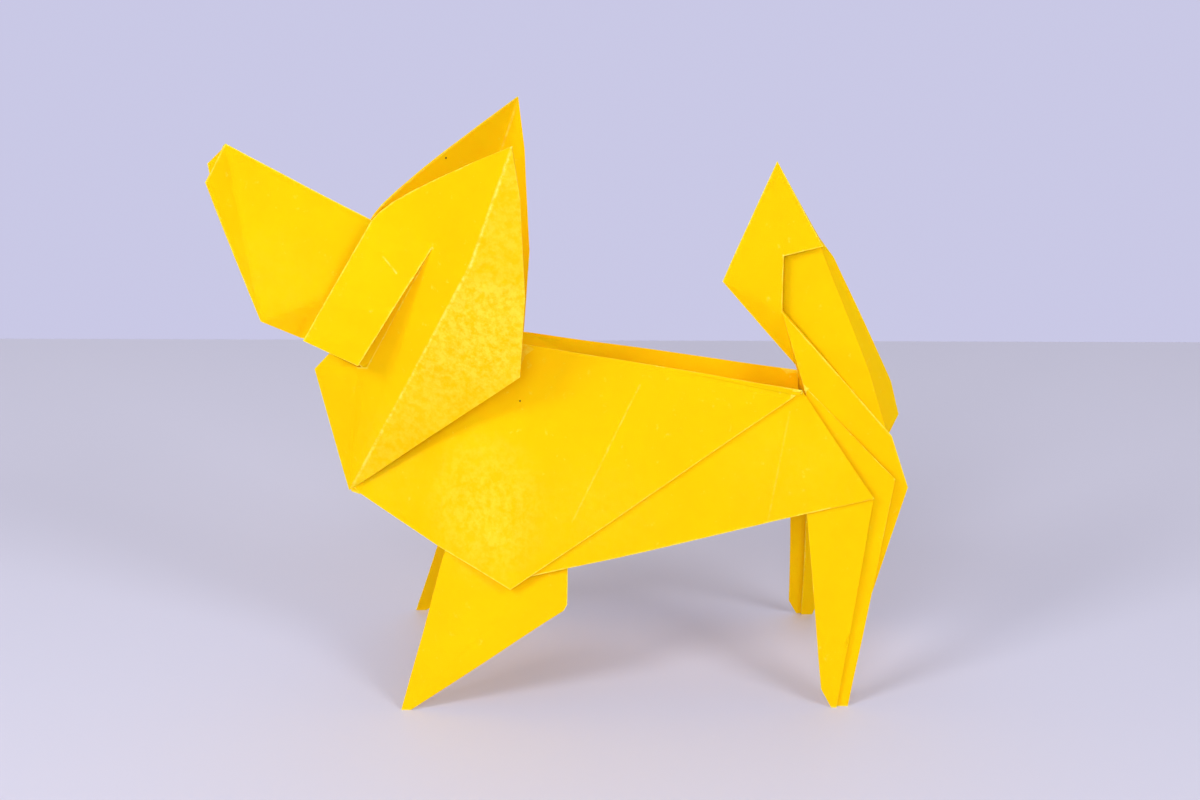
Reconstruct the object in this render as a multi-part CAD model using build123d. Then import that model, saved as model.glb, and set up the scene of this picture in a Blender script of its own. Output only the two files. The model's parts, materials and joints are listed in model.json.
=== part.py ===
from build123d import *
from math import acos, radians, tan
import os

# Origami dog folded from one square sheet, standing on its four feet, nose towards -X.
# Corners of the folds are given for the near side (-Y). The body's own corners are placed along the
# dog, out from its middle plane and up from the floor; the others go fore or back of a corner that
# carries them, and rise or drop from it. The far side mirrors the near one.

# The sheet
paper = 0.4              # thickness of a panel, two layers of the sheet pressed together
layer = 0.6              # step from one panel to the next one inside it
sink = 0.15              # a tucked edge stands this far inside the middle of the panel that holds it
corner_sink = 0.3        # a tucked corner, whose tip is longer, stands deeper
edge_share = 0.03        # a panel that meets another's edge runs on over this share of that one
fold_reach = 1.6         # how far a sharp fold stands out, in half thicknesses

# Body: the flanks are leaning planes that run down into the legs
chest_along = -52.3
chest_height = 37.0
breast_along = -21.5
breast_height = 23.0
breast_bow = 1.0         # the chest edge bows out this far between its two corners
breast_bow_share = 0.55
withers_along = -34.0
withers_height = 72.0
back_bend_back = 15.5    # behind this, from the withers, the back edges run straight to the hips
back_press = 0.04        # share of the flank over which it thins to the pressed fold of the back edge
hip_along = 35.5
hip_height = 61.2
hip_out = 6.1
flank_lean = 15.0        # degrees from upright
spine_back = 1.5
spine_drop = 19.2

# Belly pleats
belly_back = 2.2
belly_rise = 2.0
pleat_depth = 6.0        # hidden width of the belly pleat under the flank, at its front end
pleat_fore = 12.0
pleat_drop = 2.2
thigh_back = 14.5
thigh_drop = 20.6

# Front legs
front_foot_fore = 21.6
front_sole = 1.4         # the pressed tip of the foot
front_swing = -0.3       # the far front foot stands this far behind the near one
knee_back = 11.3
knee_drop = 3.8
knee_in = 0.8
knee_cut = 0.8           # the knee's corner is pressed flat over this length
elbow_fore = 11.1
elbow_rise = 13.0
elbow_in = 6.0
elbow_rear_rise = 9.8
elbow_rear_in = 1.8
shoulder_share = 0.7     # the leg reaches this far up the inside of the flank

# Hind legs
hind_foot_back = 6.8
hind_swing = -2.9        # the far hind foot stands this far behind the near one
toe_fore = 2.2
toe_height = 3.5
sole_back = 0.8
heel_back = 3.1
shin_back = 1.0
shin_top_rise = 5.4
shin_top_length = 8.0
shin_tuck = 4.0          # height of the shin's top that bends out to the belly pleat
haunch_back = 1.1
haunch_tuck = 4.0        # width of the haunch that bends out to the belly pleat
rump_back = 18.9
rump_drop = 17.7
rump_in = 2.8

# Tail
tail_root_fore = 0.7
tail_root_rise = 3.5
tail_notch_back = 2.4
tail_notch_drop = 6.3
tail_front_fore = 14.7
tail_front_rise = 17.0
fork_fore = 3.4
fork_rise = 11.7
fork_out = 2.0
fork_length = 11.2
flap_rear_back = 7.2
flap_rear_rise = 1.9
flap_rear_out = 2.5
tail_tip_fore = 1.9
tail_tip_rise = 17.8
strip_in = 1.0           # the tail's lower strip lies this far inside the haunch's top edge
seat_fore = 0.6
seat_rise = 7.9
seat_out = 5.0
rear_edge_back = 2.8
rear_edge_drop = 2.3
rear_edge_out = 6.7
rear_edge_share = 0.64   # how far down the hind leg the rear edge reaches
stem_tuck = 3.0          # how far the stem reaches up under the tail's tip
stem_gap = 1.2           # from the flap to the stem under it
stem_fore = 2.0          # the stem's front edge lies this far inside the fork
stem_low_share = 0.12    # how far the stem's lower end reaches in under the seat
stem_top_back = 2.4
stem_top_drop = 3.0
stem_back = 18.6
stem_drop = 3.8
stem_end_back = 2.0
stem_end_drop = 6.9
stem_ridge_fore = 5.1
stem_ridge_rise = 4.1
stem_ridge_out = 4.5

# Neck, ears and the bands over the cheeks
neck_low_fore = 1.7
neck_low_rise = 0.6
throat_fore = 6.0
throat_rise = 25.7
throat_rear_back = 8.7
throat_rear_rise = 1.9
throat_rear_out = 4.0
throat_top_back = 2.9
throat_top_rise = 3.1
neck_lining_share = 0.55  # how far up the throat fold the inner layer of the neck reaches
neck_rim = 0.3           # the inner layer of the neck shows this far below the folds
ear_tip_back = 39.7
ear_tip_rise = 50.0
ear_spread = 41.0
ear_back_back = 1.3
ear_back_drop = 10.3
ear_back_in = 1.5
wing_rear_back = 41.9
wing_rear_rise = 19.7
wing_rear_out = 16.0
wing_bend_back = 31.6    # the crease from the neck to the ear tip bends here
wing_bend_rise = 26.2
wing_bend_out = 15.9
wing_low_back = 40.6
wing_low_rise = 3.2
wing_low_out = 13.2
crown_back = 12.2
crown_rise = 30.7
crown_out = 2.4
ear_sweep = 6.0          # the band's front edge runs on this far before it curves to the ear tip
ear_edge_parts = 6
slit_back = 24.3
slit_rise = 27.9
slit_out = 10.5
slit_open = 1.7          # width of the slit behind the cheek band, at its lower end
band_parts = 4
band_front_fore = 1.4
band_front_rise = 8.1
band_front_out = 6.5
band_rear_back = 9.3
band_rear_rise = 3.9
band_rear_out = 9.0

# Muzzle
nose_fore = 15.6
nose_rise = 45.1
nose_low_fore = 3.4
nose_low_drop = 6.6
nose_low_out = 3.0
nose_far_fore = 3.8      # the far corner of the nose stands higher than the near one
nose_far_drop = 4.5
nose_far_out = 3.4
nose_far_share = 0.15    # the far corner's edge starts this far from the ridge
jaw_fore = 9.7
jaw_rise = 11.4
jaw_out = 4.5
chin_back = 7.3
chin_drop = 4.2
chin_out = 2.0
crease_back = 2.3
crease_rise = 15.9
crease_out = 3.6
ridge_end_back = 2.8
ridge_end_drop = 2.1
root_back = 5.0
root_rise = 6.5
root_out = 5.2
crimp_share = 0.15       # the crimp starts this far down the slit


def flank(along, height, inside=0.0):
    """A corner on the leaning flank, or on a panel that lies inside it."""
    out = hip_out + (hip_height - height) * tan(radians(flank_lean))
    return Vector(along, inside - out, height)


def at(along, out, height):
    return Vector(along, -out, height)


def beside(corner, along, rise, out=0.0):
    """A corner placed from another one along the dog and upwards, at its own distance out."""
    return Vector(corner.X + along, -out, corner.Z + rise)


def between(start, end, share):
    return start + (end - start) * share


def inward(corner, depth):
    return corner + Vector(0, depth, 0)


def mirrored(corner, swing=0.0):
    """The matching corner on the far side, moved along if it is on a leg that stands elsewhere."""
    drop = max(0.0, hip_height - corner.Z) / hip_height
    moved = 0.0 if corner.Y == 0 else swing * drop
    return Vector(corner.X + moved, -corner.Y, corner.Z)


def fan(*corners):
    """Triangles of one panel, from its first corner."""
    return [(corners[0], corners[i], corners[i + 1]) for i in range(1, len(corners) - 1)]


def other_side(panels, swing=0.0):
    """The far images of the near panels, turned so that the outside stays outside."""
    return [tuple(mirrored(corner, swing) for corner in reversed(panel)) for panel in panels]


def both_sides(panels, swing=0.0):
    return panels + other_side(panels, swing)


def folded(panels):
    """One closed solid from triangular panels, with mitred folds where panels share an edge.

    Each corner is moved half a thickness along the mean direction of its panels, both ways.
    """
    corners = []
    index = {}

    def number(corner):
        key = (round(corner.X, 4), round(corner.Y, 4), round(corner.Z, 4))
        if key not in index:
            index[key] = len(corners)
            corners.append(corner)
        return index[key]

    triangles = [tuple(number(corner) for corner in panel) for panel in panels]
    normals = [[] for _ in corners]
    for triangle in triangles:
        a, b, c = (corners[i] for i in triangle)
        normal = (b - a).cross(c - a).normalized()
        for i, before, after in ((0, 2, 1), (1, 0, 2), (2, 1, 0)):
            here = corners[triangle[i]]
            one = (corners[triangle[before]] - here).normalized()
            two = (corners[triangle[after]] - here).normalized()
            opening = acos(max(-1.0, min(1.0, one.dot(two))))
            normals[triangle[i]].append((normal, opening))

    offsets = []
    for around in normals:
        mean = sum((normal * opening for normal, opening in around), Vector(0, 0, 0)).normalized()
        facing = min(mean.dot(normal) for normal, opening in around)
        reach = 1 / facing if facing * fold_reach > 1 else fold_reach
        offsets.append(mean * (reach * paper / 2))

    outer = [corner + offset for corner, offset in zip(corners, offsets)]
    inner = [corner - offset for corner, offset in zip(corners, offsets)]
    edges = {(t[i], t[(i + 1) % 3]) for t in triangles for i in range(3)}
    loops = []
    for a, b, c in triangles:
        loops.append((outer[a], outer[b], outer[c]))
        loops.append((inner[c], inner[b], inner[a]))
    for a, b in edges:
        if (b, a) not in edges:
            loops.append((outer[b], outer[a], inner[a]))
            loops.append((outer[b], inner[a], inner[b]))
    return Solid(Shell([Face(Wire.make_polygon(loop)) for loop in loops]))


def pair(panels, swing=0.0):
    """A panel on the near side and its image on the far side, as two solids."""
    return [folded(panels), folded(other_side(panels, swing))]


# Corners that several parts of the sheet share
chest = at(chest_along, 0, chest_height)
breast = flank(breast_along, breast_height)
withers = at(withers_along, 0, withers_height)
back_slope = (hip_height - withers_height) / (hip_along - withers_along)
back_bend = flank(withers_along + back_bend_back, withers_height + back_slope * back_bend_back)
hip = flank(hip_along, hip_height)
thigh_along = hip_along + thigh_back
thigh_height = hip_height - thigh_drop
hind_foot_along = hip_along + hind_foot_back
haunch_top = flank(hip_along + haunch_back, hip_height, 2.5 * layer)
rump = flank(hip_along + rump_back, hip_height - rump_drop, rump_in)
hind_heel = flank(hind_foot_along + heel_back, -paper, 3 * layer)
strip_top = inward(between(haunch_top, hind_heel, edge_share), corner_sink)
strip_mid = inward(between(between(haunch_top, rump, 0.5), hind_heel, edge_share), strip_in)
tail_root = beside(hip, -tail_root_fore, tail_root_rise)
fork_low = beside(tail_root, -fork_fore, fork_rise, fork_out)
fork_high = beside(fork_low, 0, fork_length, fork_out)
flap_rear = beside(fork_high, flap_rear_back, flap_rear_rise, flap_rear_out)
tail_tip = beside(fork_high, -tail_tip_fore, tail_tip_rise)
seat = beside(rump, -seat_fore, seat_rise, seat_out)
neck_low = beside(chest, -neck_low_fore, neck_low_rise)
throat = beside(neck_low, -throat_fore, throat_rise)
throat_rear = beside(throat, throat_rear_back, throat_rear_rise, throat_rear_out)
crown = beside(throat, crown_back, crown_rise, crown_out)
slit = beside(throat, slit_back, slit_rise, slit_out)
slit_low = beside(throat_rear, slit_open, 0, throat_rear_out)


def body():
    """Outer flanks from the chest keel to the hips, and the sunken back between them."""
    chest_edge = between(chest, breast, breast_bow_share) + Vector(0, -breast_bow, 0)
    spine_rear = beside(hip, spine_back, -spine_drop)
    hip_press = between(hip, breast, back_press)
    back_bend_press = between(back_bend, breast, back_press)
    flanks = [
        (chest, chest_edge, withers),
        (chest_edge, breast, withers),
        (breast, back_bend_press, withers),
        (back_bend_press, back_bend, withers),
        (breast, hip_press, back_bend_press),
        (hip_press, back_bend, back_bend_press),
        (hip_press, hip, back_bend),
    ]
    trough = [
        (withers, back_bend, spine_rear),
        (back_bend, hip, spine_rear),
    ]
    return [folded(both_sides(flanks + trough))]


def belly_pleats():
    """Lower flank panels that come out from under the front ones and end at the thighs."""
    front_along = breast_along + belly_back
    front_height = breast_height + belly_rise
    front = flank(front_along, front_height, layer)
    tucked_front = flank(front_along, front_height + pleat_depth, sink)
    tucked_rear = flank(hip_along - pleat_fore, hip_height - pleat_drop, sink)
    thigh = flank(thigh_along, thigh_height, layer)
    return pair(fan(inward(hip, layer), tucked_rear, tucked_front, front, thigh))


def front_legs():
    """Broad flaps that hang inside the flanks and end in a pressed tip."""
    knee_along = breast_along + knee_back
    knee_height = breast_height - knee_drop
    foot_along = breast_along - front_foot_fore
    foot = flank(foot_along, -paper)
    foot_rear = flank(foot_along + front_sole, -paper)
    knee = flank(knee_along, knee_height, knee_in)
    elbow_rear = flank(knee_along, knee_height + elbow_rear_rise, elbow_rear_in)
    elbow_front = flank(breast_along - elbow_fore, breast_height + elbow_rise, elbow_in)
    shoulder_rear = inward(between(breast, back_bend, shoulder_share), sink)
    shoulder_front = inward(between(breast, withers, shoulder_share), sink)
    knee_low = knee + (foot_rear - knee).normalized() * knee_cut
    knee_high = knee + (elbow_rear - knee).normalized() * knee_cut
    lower = fan(foot, foot_rear, knee_low, knee_high, elbow_rear, elbow_front)
    upper = fan(elbow_front, elbow_rear, shoulder_rear, shoulder_front)
    return pair(lower + upper, front_swing)


def hind_legs():
    """The outer layer of each hind leg, its top bent out to the belly pleat."""
    inside = 2 * layer
    shin_along = hip_along + shin_back
    top_height = thigh_height + shin_top_rise
    top_rear_along = shin_along + shin_top_length
    top_front = flank(shin_along, top_height, layer + sink)
    top_rear = flank(top_rear_along, top_height, layer + sink)
    bend_front = flank(shin_along, top_height - shin_tuck, inside)
    bend_rear = flank((top_rear_along + thigh_along) / 2, (top_height + thigh_height) / 2, inside)
    toe = flank(hind_foot_along - toe_fore, toe_height, inside)
    toe_low = flank(hind_foot_along, -paper, inside)
    sole_rear = flank(hind_foot_along + sole_back, -paper, inside)
    thigh = flank(thigh_along, thigh_height, inside)
    tuck = fan(bend_front, bend_rear, top_rear, top_front)
    return pair(tuck + fan(bend_front, toe, toe_low, sole_rear, thigh, bend_rear), hind_swing)


def haunches():
    """The middle layer of each hind leg, from the hip to the rump and down to the heel."""
    inside = 3 * layer
    hind_foot = flank(hind_foot_along + sole_back, -paper, inside)
    tuck_high = flank(hip_along, hip_height - haunch_tuck, layer + sink)
    tuck_low = flank(hip_along, hip_height - 2 * haunch_tuck, layer + sink)
    bend = flank(hip_along + haunch_tuck, hip_height - 3 * haunch_tuck, inside)
    tuck = fan(haunch_top, tuck_high, tuck_low, bend)
    return pair(tuck + fan(rump, haunch_top, bend, hind_foot, hind_heel), hind_swing)


def tail():
    """The tail's flap, folded forward over its stem, and its rear edges inside the haunches."""
    front = beside(tail_root, -tail_front_fore, tail_front_rise)
    notch = beside(tail_root, tail_notch_back, -tail_notch_drop)
    rear_edge = beside(rump, rear_edge_back, -rear_edge_drop, rear_edge_out)
    heel_edge = between(between(rump, hind_heel, rear_edge_share), haunch_top, edge_share)
    rear_edge_end = inward(heel_edge, corner_sink)
    flap_back = beside(flap_rear, 0, 0)
    panels = [
        (tail_tip, front, fork_high),
        (tail_tip, fork_high, flap_rear),
        (tail_tip, flap_rear, flap_back),
        (front, fork_low, fork_high),
        (front, tail_root, fork_low),
        (tail_root, strip_top, fork_low),
        (tail_root, notch, strip_top),
        (notch, strip_mid, strip_top),
        (strip_top, strip_mid, fork_low),
        (strip_mid, seat, fork_low),
        (strip_mid, rear_edge, seat),
        (strip_mid, rear_edge_end, rear_edge),
    ]
    return [folded(both_sides(panels, hind_swing))]


def tail_stem():
    """The stem under the tail's flap: a ridge on each side, closed along the back edge."""
    tuck_share = stem_tuck / (tail_tip - fork_high).length
    inner_top = beside(fork_high, -stem_fore, stem_tuck)
    inner_low = beside(fork_low, -stem_fore, -stem_tuck)
    ridge_top = inward(between(flap_rear, tail_tip, tuck_share), stem_gap)
    back_top = beside(flap_rear, stem_top_back, -stem_top_drop)
    back = beside(tail_root, stem_back, -stem_drop)
    back_end = beside(back, stem_end_back, -stem_end_drop)
    ridge = beside(back, -stem_ridge_fore, stem_ridge_rise, stem_ridge_out)
    ridge_low = inward(between(seat, strip_mid, stem_low_share), corner_sink)
    panels = [
        (inner_top, inner_low, ridge),
        (inner_top, ridge, ridge_top),
        (inner_low, ridge_low, ridge),
        (ridge_top, ridge, back),
        (ridge_top, back, back_top),
        (ridge, ridge_low, back_end),
        (ridge, back_end, back),
    ]
    return [folded(both_sides(panels, hind_swing))]


def hood():
    """Neck, wings, ears and cheek bands: one run of the sheet around the throat fold."""
    ear_out = ear_spread / 2
    ear_tip = beside(throat, ear_tip_back, ear_tip_rise, ear_out)
    ear_back = beside(ear_tip, ear_back_back, -ear_back_drop, ear_out - ear_back_in)
    wing_rear = beside(throat, wing_rear_back, wing_rear_rise, wing_rear_out)
    wing_bend = beside(throat, wing_bend_back, wing_bend_rise, wing_bend_out)
    wing_low = beside(throat, wing_low_back, wing_low_rise, wing_low_out)
    throat_top = beside(throat, throat_top_back, throat_top_rise)
    band_front = beside(throat, -band_front_fore, band_front_rise, band_front_out)
    band_rear = beside(throat, band_rear_back, band_rear_rise, band_rear_out)
    panels = [
        (throat, throat_rear, throat_top),
        (throat_rear, throat, neck_low),
        (slit_low, throat_rear, neck_low),
        (slit, slit_low, neck_low),
        (slit, neck_low, wing_bend),
        (slit, wing_bend, ear_tip),
        (neck_low, wing_low, wing_bend),
        (wing_low, ear_tip, wing_bend),
        (wing_low, wing_rear, ear_tip),
        (wing_rear, ear_back, ear_tip),
    ]
    for part in range(band_parts):
        share, after = part / band_parts, (part + 1) / band_parts
        front, front_after = between(crown, band_front, share), between(crown, band_front, after)
        rear, rear_after = between(slit, band_rear, share), between(slit, band_rear, after)
        panels += [(front, front_after, rear), (front_after, rear_after, rear)]
    ear_bend = crown + (crown - band_front).normalized() * ear_sweep
    before = crown
    for part in range(1, ear_edge_parts + 1):
        share = part / ear_edge_parts
        edge = between(between(crown, ear_bend, share), between(ear_bend, ear_tip, share), share)
        panels.append((before, slit, edge))
        before = edge
    return [folded(both_sides(panels))]


def neck_lining():
    """The inner layer of the neck, on the middle plane, from the throat fold to the body's keel."""
    fold_low = beside(neck_low, 0, -neck_rim)
    fold_high = between(neck_low, throat, neck_lining_share)
    keel_low = beside(chest, 0, -neck_rim)
    keel_high = between(chest, withers, 1 - edge_share)
    into_folds = Vector(paper / 2, 0, 0)
    corners = [corner + into_folds for corner in (fold_low, keel_low, keel_high, fold_high)]
    return [folded(fan(*corners))]


def snout():
    """The muzzle, closed along its ridge, and the crimp that carries it back under the bands."""
    nose = beside(throat, -nose_fore, nose_rise)
    nose_low = beside(nose, -nose_low_fore, -nose_low_drop, nose_low_out)
    nose_mid = between(nose, nose_low, nose_far_share)
    nose_far = beside(nose, -nose_far_fore, -nose_far_drop, -nose_far_out)
    jaw = beside(throat, -jaw_fore, jaw_rise, jaw_out)
    chin = beside(jaw, chin_back, -chin_drop, chin_out)
    crease = beside(throat, crease_back, crease_rise, crease_out)
    root = beside(throat, root_back, root_rise, root_out)
    ridge_end = beside(crown, ridge_end_back, -ridge_end_drop)
    crimp_top = inward(between(between(slit, slit_low, crimp_share), neck_low, edge_share), sink)
    crimp_low = inward(between(slit_low, neck_low, edge_share), sink)
    panels = [
        (nose, nose_mid, jaw),
        (nose_mid, nose_low, jaw),
        (nose, jaw, crease),
        (nose, crease, ridge_end),
        (jaw, chin, crease),
        (crease, chin, root),
        (crease, root, ridge_end),
        (ridge_end, root, crimp_top),
        (root, crimp_low, crimp_top),
    ]
    far_corner = (nose_far, mirrored(nose_mid), mirrored(nose_low))
    return [folded(both_sides(panels) + [far_corner])]


def main():
    sheet = body() + belly_pleats() + front_legs() + hind_legs() + haunches()
    sheet += tail() + tail_stem() + neck_lining() + hood() + snout()
    dog = sheet[0].fuse(*sheet[1:])
    dog = dog.split(Plane.XY, keep=Keep.TOP)
    dog = Pos(-dog.bounding_box().center().X, 0, 0) * dog
    os.makedirs("parts", exist_ok=True)
    export_step(dog, "parts/folded_dog.step")


main()
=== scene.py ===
import json
import math

import bmesh
import bpy
from mathutils import Matrix, Vector, noise


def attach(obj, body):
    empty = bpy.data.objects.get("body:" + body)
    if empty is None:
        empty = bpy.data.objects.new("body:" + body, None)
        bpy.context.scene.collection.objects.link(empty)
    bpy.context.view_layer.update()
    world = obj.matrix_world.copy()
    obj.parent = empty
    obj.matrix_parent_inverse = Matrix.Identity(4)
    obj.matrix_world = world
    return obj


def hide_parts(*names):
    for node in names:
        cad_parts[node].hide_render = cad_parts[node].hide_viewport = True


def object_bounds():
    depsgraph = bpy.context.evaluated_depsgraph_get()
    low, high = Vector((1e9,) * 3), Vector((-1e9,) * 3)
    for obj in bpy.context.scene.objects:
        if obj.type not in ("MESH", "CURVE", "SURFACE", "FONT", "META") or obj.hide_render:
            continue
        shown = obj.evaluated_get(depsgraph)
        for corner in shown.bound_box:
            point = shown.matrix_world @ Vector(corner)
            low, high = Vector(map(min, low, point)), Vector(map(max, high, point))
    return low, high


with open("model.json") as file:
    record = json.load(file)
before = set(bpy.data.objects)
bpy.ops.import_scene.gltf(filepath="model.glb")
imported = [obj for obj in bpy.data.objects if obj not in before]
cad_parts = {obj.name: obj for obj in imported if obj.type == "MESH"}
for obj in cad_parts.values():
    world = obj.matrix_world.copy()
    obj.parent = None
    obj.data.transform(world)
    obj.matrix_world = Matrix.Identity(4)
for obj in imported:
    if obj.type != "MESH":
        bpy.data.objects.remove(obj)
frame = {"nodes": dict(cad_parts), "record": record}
cadLow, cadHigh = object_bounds()  # the CAD box, before anything is dressed
print("frame loaded, box in mm:", [round(1000 * side, 1) for side in cadHigh - cadLow])

mm = 0.001


# the folded sheet: the CAD folds, with the soft waves that folded paper keeps

sheetSettings = {
    "name": "folded_sheet",
    "weldGap": 0.002 * mm,
    "cellSize": 2.4 * mm,  # longest edge inside a panel
    "foldAngle": 17.0,  # degrees, sharper bends stay crisp
    "waveSize": 27.0 * mm,
    "waveDepth": 0.22 * mm,
    "rippleSize": 9.0 * mm,
    "rippleDepth": 0.05 * mm,
    "waveShifts": [(0, 0, 0), (31, 7, 13), (5, 43, 19)],  # one for each axis, so that the pushes differ
    "footHold": 12.0 * mm,  # the feet stay still up to this height
    # the wing's crease, along and height in mm; behind it the sheet is rubbed pale, with a painted sheen
    "wingCrease": [(-42.8, 37.6), (-17.2, 89.5), (-9.1, 113.3)],
    "wingEdge": [(-42.8, 37.4), (-8.2, 66.3), (0.0, 80.0)],  # its lower edge
    "wingRear": -1.0,  # the wing ends before this, in mm along
    "wingRubbedSheen": [(37, 0.25), (60, 0.55), (70, 0.95), (85, 0.95), (87, 0.5), (114, 0.6)],
    # other rubbed places with painted sheen: along, height, reach along, reach up, amount
    "rubbedSheenSpots": [
        (-15, 38, 13, 16, 0.65),
        (4, 38, 18, 12, 0.12),
        (44, 46, 16, 12, 0.08),
        (-56, 82, 14, 12, 0.10),
        (-34, 46, 8, 14, 0.15),
    ],
}


def divideLongEdges(sheet, longest):
    # the longest edges are halved first, one in each triangle, until none is left
    while True:
        sheet.faces.index_update()
        longOnes = [edge for edge in sheet.edges if edge.calc_length() > longest]
        longOnes.sort(key=lambda edge: -edge.calc_length())
        taken, chosen = set(), []
        for edge in longOnes:
            beside = [face.index for face in edge.link_faces]
            if not taken.intersection(beside):
                chosen.append(edge)
                taken.update(beside)
        if not chosen:
            break
        bmesh.ops.subdivide_edges(sheet, edges=chosen, cuts=1, use_single_edge=True)


def softNoise(point, shifts):
    # a smooth push along each axis, the same in every run
    return Vector([noise.noise(point + Vector(shift)) for shift in shifts])


def paperWave(point, settings):
    slow = softNoise(point / settings["waveSize"], settings["waveShifts"]) * settings["waveDepth"]
    quick = softNoise(point / settings["rippleSize"], settings["waveShifts"]) * settings["rippleDepth"]
    return (slow + quick) * min(1.0, max(0.0, point.z / settings["footHold"]))


# folds are marked for wear and for a painted highlight on their rims
def markFolds(sheet, foldAngle):
    wearAndHighlight = sheet.verts.layers.float.new("foldWearAndHighlight")
    for edge in sheet.edges:
        if len(edge.link_faces) == 2:
            bend = edge.calc_face_angle_signed(0.0)
            if bend > foldAngle:
                for vert in edge.verts:  # fully worn, with a full painted highlight, where the sheet turns by a right angle
                    vert[wearAndHighlight] = max(vert[wearAndHighlight], min(1.0, 2 * bend / math.pi))


def between(rows, value):
    # the value read between rows, and 0 outside them
    for (low, lowValue), (high, highValue) in zip(rows, rows[1:]):
        if low <= value <= high:
            return lowValue + (highValue - lowValue) * (value - low) / (high - low)
    return 0.0


# rubbed places, drawn pale as a painted sheen
def markRubbedSheen(sheet, settings):
    rubbedSheen = sheet.loops.layers.float.new("rubbedSheen")
    crease = [(height, along) for along, height in settings["wingCrease"]]
    for face in sheet.faces:
        middle = face.calc_center_median() / mm
        outside = face.normal.y * middle.y > 0
        above = middle.z > between(settings["wingEdge"], middle.x)
        rearward = middle.z > crease[0][0] and between(crease, middle.z) < middle.x < settings["wingRear"]
        behind = outside and above and rearward
        for corner in face.loops:
            along, height = corner.vert.co.x / mm, corner.vert.co.z / mm
            amount = between(settings["wingRubbedSheen"], height) if behind else 0.0
            for spotAlong, spotHeight, reachAlong, reachUp, spotAmount in settings["rubbedSheenSpots"]:
                far = math.hypot((along - spotAlong) / reachAlong, (height - spotHeight) / reachUp)
                if far < 1:
                    amount = max(amount, spotAmount * (1 - far * far))
            corner[rubbedSheen] = amount


def makeFoldedSheet(node, settings):
    sheet = bmesh.new()
    sheet.from_mesh(node.data)
    bmesh.ops.remove_doubles(sheet, verts=sheet.verts, dist=settings["weldGap"])
    divideLongEdges(sheet, settings["cellSize"])
    bmesh.ops.recalc_face_normals(sheet, faces=sheet.faces)
    markFolds(sheet, math.radians(settings["foldAngle"]))
    markRubbedSheen(sheet, settings)
    for vert in sheet.verts:
        vert.co += paperWave(vert.co, settings)
    mesh = bpy.data.meshes.new(settings["name"])
    sheet.to_mesh(mesh)
    sheet.free()
    mesh.shade_smooth()
    mesh.set_sharp_from_angle(angle=math.radians(settings["foldAngle"]))
    piece = bpy.data.objects.new(settings["name"], mesh)
    bpy.context.scene.collection.objects.link(piece)
    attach(piece, "root")
    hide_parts("folded_dog")
    return piece


foldedSheet = makeFoldedSheet(frame["nodes"]["folded_dog"], sheetSettings)
print("folded sheet:", len(foldedSheet.data.polygons), "triangles")


# the paper: fibres, cloudy pulp, rubbed patches with painted sheen, pale worn folds with painted highlights,
# old creases and a painted highlight along the wing's ridge

paperSettings = {
    "yellow": (1.0, 0.598, 0.001, 1.0),
    "deepYellow": (1.0, 0.566, 0.001, 1.0),
    # painted sheen: the pale colour of rubbed places and flecks
    "rubbedSheen": (1.0, 0.830, 0.095, 1.0),
    # pale worn folds, with a painted highlight on their rims
    "wornFoldAndHighlight": (1.0, 0.800, 0.090, 1.0),
    # pale crease marks, and a painted highlight along the wing's ridge
    "creaseMarkAndRidgeHighlight": (1.0, 0.840, 0.140, 1.0),
    "speckInk": (0.020, 0.014, 0.010, 1.0),
    "cloudSize": 9.0 * mm,
    "fibreSize": 0.55 * mm,
    "mottleSize": 1.5 * mm,
    "noiseSpread": (0.3, 0.7),  # where most of the noise lies
    # noise from, noise to, result from, result to
    "blots": (0.40, 0.62, 0.05, 1.0),
    "cloudBlots": (0.45, 0.75, 0.0, 0.25),
    "sheenFlecks": (0.64, 0.73, 0.0, 0.30),
    "wearAndHighlightBreaks": (0.38, 0.58, 0.30, 0.95),
    "rubbedSheenAmount": 0.46,
    "wearAndHighlightFrom": 0.76,  # share of a right angle at which a fold shows wear and a painted highlight
    "wearAndHighlightTo": 0.99,
    "roughMost": 0.68,
    "roughLeast": 0.52,
    "bumpStrength": 0.25,
    "bumpDepth": 0.06 * mm,
    "fibreBump": 0.5,  # beside the mottle's 1
    "specular": 0.03,
    "ior": 1.45,
    "glow": 0.3,  # share of the light that spreads inside the sheet
    "glowReach": (1.0, 0.45, 0.03),
    "glowScale": 0.7 * mm,
    # creases pressed in while folding, the last two a painted highlight along the wing's ridge: from, to,
    # half width and amount, near side, in mm
    "creaseMarksAndRidgeHighlight": [
        ((-34.3, -6.56, 88.3), (-31.7, -8.57, 85.75), 0.28, 0.9),
        ((14.9, -6.0, 62.34), (1.8, -12.99, 36.28), 0.28, 0.35),
        ((44.3, -6.8, 57.11), (40.3, -12.32, 36.5), 0.28, 0.2),
        # the wing's ridge: a painted highlight along its crease
        ((-42.7, -0.4, 38.0), (-17.2, -16.1, 89.5), 0.45, 0.8),
        ((-17.2, -16.1, 89.5), (-9.1, -20.7, 113.3), 0.45, 0.9),
    ],
    "creaseBreaks": (0.40, 0.58),
    "creaseLeast": 0.15,  # share of its amount that a crease keeps where it is broken
    "speckCore": 0.6,  # share of a speck's reach that is all ink
    "specks": [((-8.44, -6.75, 59.23), 0.22), ((-23.0, 9.99, 103.54), 0.26)],  # place, reach, in mm
}


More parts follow.
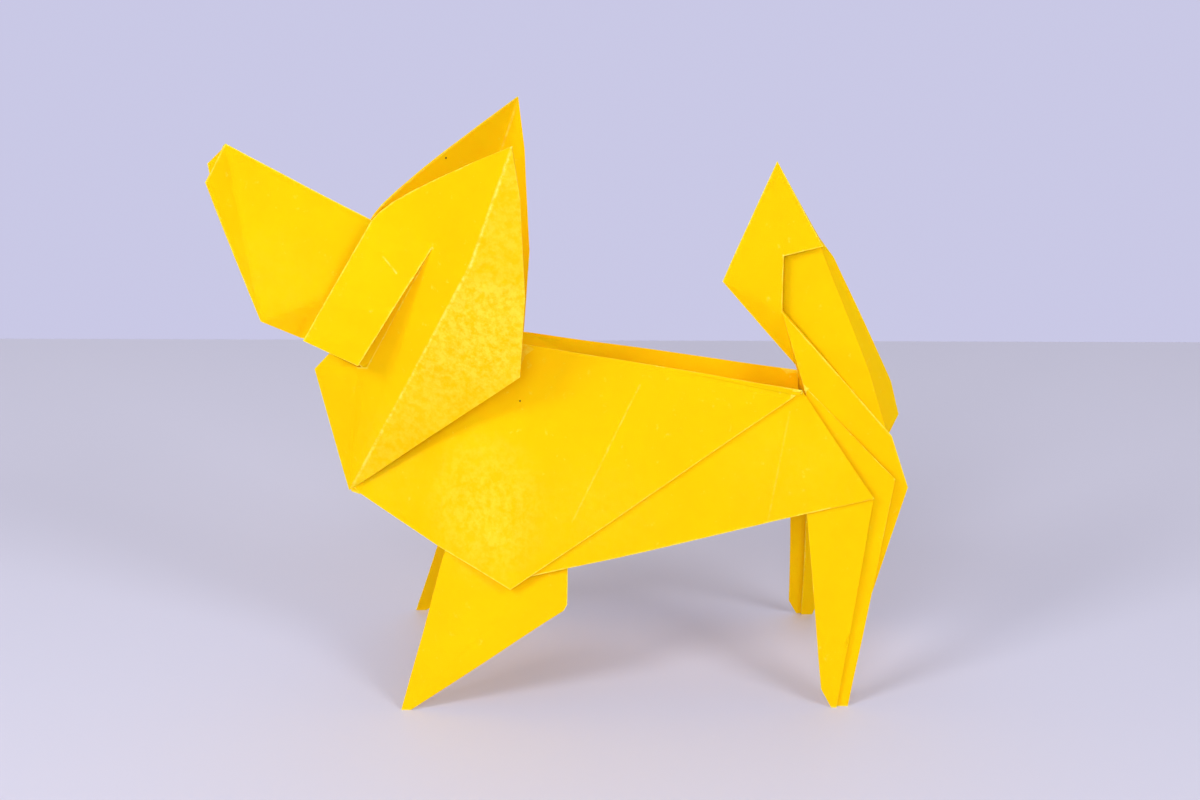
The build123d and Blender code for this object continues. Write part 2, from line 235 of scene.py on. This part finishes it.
class Shader:
    def __init__(self, material):
        material.use_nodes = True
        self.nodes = material.node_tree.nodes
        self.links = material.node_tree.links
        self.nodes.clear()

    def add(self, kind, inputs=None, **props):
        node = self.nodes.new(kind)
        for prop, value in props.items():
            setattr(node, prop, value)
        for socket, value in (inputs or {}).items():
            if isinstance(value, bpy.types.NodeSocket):
                self.links.new(value, node.inputs[socket])
            else:
                node.inputs[socket].default_value = value
        return node

    def math(self, operation, first, second=0.0):
        return self.add("ShaderNodeMath", {0: first, 1: second}, operation=operation).outputs[0]

    def vector(self, operation, first, second=(0, 0, 0), output="Vector"):
        node = self.add("ShaderNodeVectorMath", {0: first, 1: second}, operation=operation)
        return node.outputs[output]

    def range(self, value, low, high, toLow=0.0, toHigh=1.0):
        node = self.add("ShaderNodeMapRange", {"Value": value, "From Min": low, "From Max": high,
                                               "To Min": toLow, "To Max": toHigh})
        return node.outputs["Result"]

    def noise(self, where, size, detail=2.0, roughness=0.5):
        node = self.add("ShaderNodeTexNoise", {"Vector": where, "Scale": 1.0 / size, "Detail": detail,
                                               "Roughness": roughness})
        return node.outputs["Fac"]

    def attribute(self, name):
        return self.add("ShaderNodeAttribute", attribute_name=name).outputs["Fac"]

    def mix(self, amount, first, second):
        node = self.add("ShaderNodeMix", {"Factor": amount}, data_type="RGBA")
        for socket, value in (("A", first), ("B", second)):
            target = [i for i in node.inputs if i.name == socket and i.type == "RGBA"][0]
            if isinstance(value, bpy.types.NodeSocket):
                self.links.new(value, target)
            else:
                target.default_value = value
        return [o for o in node.outputs if o.type == "RGBA"][0]


def nearLine(net, where, start, end, width):
    # 1 on the line between two points, fading to 0 at its width
    start, end = Vector(start) * mm, Vector(end) * mm
    run = end - start
    along = net.vector("DOT_PRODUCT", net.vector("SUBTRACT", where, start), run / run.length_squared, "Value")
    step = net.add("ShaderNodeVectorMath", {0: run, "Scale": net.range(along, 0.0, 1.0)}, operation="SCALE")
    foot = net.vector("ADD", step.outputs["Vector"], start)
    return net.range(net.vector("DISTANCE", where, foot, "Value"), 0.0, width, 1.0, 0.0)


def makePaper(settings):
    paper = bpy.data.materials.new("yellow_paper")
    net = Shader(paper)
    where = net.add("ShaderNodeTexCoord").outputs["Object"]
    parts = net.add("ShaderNodeSeparateXYZ", {0: where})
    nearSide = net.math("MULTIPLY", net.math("ABSOLUTE", parts.outputs["Y"]), -1.0)
    eitherSide = net.add("ShaderNodeCombineXYZ", {"X": parts.outputs["X"], "Y": nearSide,
                                                  "Z": parts.outputs["Z"]}).outputs[0]
    cloud = net.noise(where, settings["cloudSize"], 3.0)
    fibre = net.noise(where, settings["fibreSize"], 4.0, 0.6)
    mottle = net.noise(where, settings["mottleSize"], 4.0, 0.65)
    colour = net.mix(net.range(cloud, *settings["noiseSpread"]), settings["deepYellow"], settings["yellow"])

    # painted sheen: pale where the surface was rubbed, in small blots, and in flecks all over
    blots = net.math("ADD", net.range(mottle, *settings["blots"]), net.range(cloud, *settings["cloudBlots"]))
    rubbedSheen = net.math("MULTIPLY", net.attribute("rubbedSheen"), blots)
    rubbedSheen = net.math("MULTIPLY", rubbedSheen, settings["rubbedSheenAmount"])
    # flecks of the same painted sheen, all over the sheet
    sheenFlecks = net.range(mottle, *settings["sheenFlecks"])
    colour = net.mix(net.math("MAXIMUM", rubbedSheen, sheenFlecks), colour, settings["rubbedSheen"])

    # pale along the folds and edges: wear, and a painted highlight on their rims
    folds = net.range(net.attribute("foldWearAndHighlight"), settings["wearAndHighlightFrom"], settings["wearAndHighlightTo"])
    wornAndHighlit = net.math("MULTIPLY", folds, net.range(mottle, *settings["wearAndHighlightBreaks"]))
    colour = net.mix(wornAndHighlit, colour, settings["wornFoldAndHighlight"])

    height = net.math("ADD", net.math("MULTIPLY", fibre, settings["fibreBump"]), mottle)
    # crease marks, and the painted highlight on the wing's ridge
    for start, end, width, amount in settings["creaseMarksAndRidgeHighlight"]:
        line = nearLine(net, eitherSide, start, end, width * mm)
        breaks = net.range(mottle, *settings["creaseBreaks"], settings["creaseLeast"] * amount, amount)
        colour = net.mix(net.math("MULTIPLY", line, breaks), colour, settings["creaseMarkAndRidgeHighlight"])
        height = net.math("ADD", height, net.math("MULTIPLY", line, amount))
    for place, reach in settings["specks"]:
        away = net.vector("DISTANCE", where, Vector(place) * mm, "Value")
        dot = net.range(away, reach * mm, settings["speckCore"] * reach * mm)
        colour = net.mix(dot, colour, settings["speckInk"])

    bump = net.add("ShaderNodeBump", {"Strength": settings["bumpStrength"], "Distance": settings["bumpDepth"],
                                      "Height": height})
    rough = net.range(mottle, *settings["noiseSpread"], settings["roughMost"], settings["roughLeast"])
    skin = net.add("ShaderNodeBsdfPrincipled", {"Base Color": colour, "Roughness": rough,
                                                "Normal": bump.outputs["Normal"], "IOR": settings["ior"],
                                                "Specular IOR Level": settings["specular"],
                                                "Subsurface Weight": settings["glow"],
                                                "Subsurface Radius": settings["glowReach"],
                                                "Subsurface Scale": settings["glowScale"]})
    net.add("ShaderNodeOutputMaterial", {"Surface": skin.outputs[0]})
    return paper


foldedSheet.data.materials.append(makePaper(paperSettings))
print("paper material made")


# stage: a pale table top and the pale room behind it

stageSettings = {
    "width": 1.6,
    "front": -1.3,
    "back": 0.205,
    "top": (0.665, 0.660, 0.800, 1.0),
    "topRoughness": 0.55,
    "topSpecular": 0.25,
    "room": (0.585, 0.580, 0.790, 1.0),
    "fillLight": (0.97, 0.95, 1.0, 1.0),
    "fillFront": 0.40,  # light from the viewer's half of the room
    "fillBack": 0.92,  # light from behind
    "fillTurn": -0.1,  # where the light starts to grow towards the back
}


def makeTable(settings):
    half = settings["width"] / 2
    corners = [(-half, settings["front"], 0), (half, settings["front"], 0),
               (half, settings["back"], 0), (-half, settings["back"], 0)]
    mesh = bpy.data.meshes.new("table_top")
    mesh.from_pydata(corners, [], [(0, 1, 2, 3)])
    table = bpy.data.objects.new("table_top", mesh)
    bpy.context.scene.collection.objects.link(table)
    coat = bpy.data.materials.new("pale_table")
    net = Shader(coat)
    skin = net.add("ShaderNodeBsdfPrincipled", {"Base Color": settings["top"],
                                                "Roughness": settings["topRoughness"],
                                                "Specular IOR Level": settings["topSpecular"]})
    net.add("ShaderNodeOutputMaterial", {"Surface": skin.outputs[0]})
    mesh.materials.append(coat)


def makeRoom(settings):
    world = bpy.data.worlds.new("pale_room")
    bpy.context.scene.world = world
    net = Shader(world)
    path = net.add("ShaderNodeLightPath").outputs
    mirrored = net.math("MAXIMUM", path["Is Glossy Ray"], path["Is Transmission Ray"])
    seen = net.math("MAXIMUM", path["Is Camera Ray"], mirrored)
    toward = net.add("ShaderNodeSeparateXYZ", {0: net.add("ShaderNodeTexCoord").outputs["Generated"]})
    strength = net.range(toward.outputs["Y"], settings["fillTurn"], 1.0,
                         settings["fillFront"], settings["fillBack"])
    fill = net.add("ShaderNodeBackground", {"Color": settings["fillLight"], "Strength": strength})
    shown = net.add("ShaderNodeBackground", {"Color": settings["room"], "Strength": 1.0})
    either = net.add("ShaderNodeMixShader", {"Fac": seen, 1: fill.outputs[0], 2: shown.outputs[0]})
    net.add("ShaderNodeOutputWorld", {"Surface": either.outputs[0]})


makeTable(stageSettings)
makeRoom(stageSettings)
print("stage made")


# soft lamps to the left and right, and a wide one in front

lampSettings = {
    "left_lamp": {"azimuth": -52, "elevation": 34, "distance": 0.65, "size": 0.20, "watts": 1.6},
    "right_lamp": {"azimuth": 50, "elevation": 34, "distance": 0.65, "size": 0.20, "watts": 1.1},
    "front_lamp": {"azimuth": -10, "elevation": 21, "distance": 0.95, "size": 0.45, "watts": 2.9},
}


def makeLamp(name, settings, aim):
    azimuth, elevation = math.radians(settings["azimuth"]), math.radians(settings["elevation"])
    back = Vector((math.sin(azimuth) * math.cos(elevation), -math.cos(azimuth) * math.cos(elevation),
                   math.sin(elevation)))
    data = bpy.data.lights.new(name, "AREA")
    data.size = settings["size"]
    data.energy = settings["watts"]
    lamp = bpy.data.objects.new(name, data)
    lamp.location = aim + back * settings["distance"]
    lamp.rotation_euler = (-back).to_track_quat("-Z", "Y").to_euler()
    lamp.visible_camera = False
    bpy.context.scene.collection.objects.link(lamp)


for lampName, lampValues in lampSettings.items():
    makeLamp(lampName, lampValues, (cadLow + cadHigh) / 2)
print("lamps made")


# camera: where the photograph was taken from

cameraSettings = {
    "fromSole": (-52.495 * mm, -379.261 * mm, 204.94 * mm),  # from the near hind foot
    "pitch": 20.3,  # degrees down
    "yaw": -0.616,
    "roll": -0.366,
    "lens": 64.5,
    "sensor": 36.0,
    "clipStart": 0.01,
}


def makeCamera(settings):
    yaw, pitch, roll = (math.radians(settings[turn]) for turn in ("yaw", "pitch", "roll"))
    level = Vector((-math.sin(yaw), math.cos(yaw), 0))
    side = Vector((math.cos(yaw), math.sin(yaw), 0))
    ahead = level * math.cos(pitch) - Vector((0, 0, math.sin(pitch)))
    below = -level * math.sin(pitch) - Vector((0, 0, math.cos(pitch)))
    right = side * math.cos(roll) + below * math.sin(roll)
    down = below * math.cos(roll) - side * math.sin(roll)
    data = bpy.data.cameras.new("photo_camera")
    data.lens = settings["lens"]
    data.sensor_fit = "HORIZONTAL"
    data.sensor_width = settings["sensor"]
    data.clip_start = settings["clipStart"]
    camera = bpy.data.objects.new("photo_camera", data)
    turn = Matrix((right, -down, -ahead)).transposed()
    sole = Vector(frame["record"]["mounts"][0]["pos_m"])
    camera.matrix_world = Matrix.Translation(sole + Vector(settings["fromSole"])) @ turn.to_4x4()
    bpy.context.scene.collection.objects.link(camera)
    bpy.context.scene.camera = camera


makeCamera(cameraSettings)
bpy.context.scene.view_settings.view_transform = "Standard"
print("camera made")
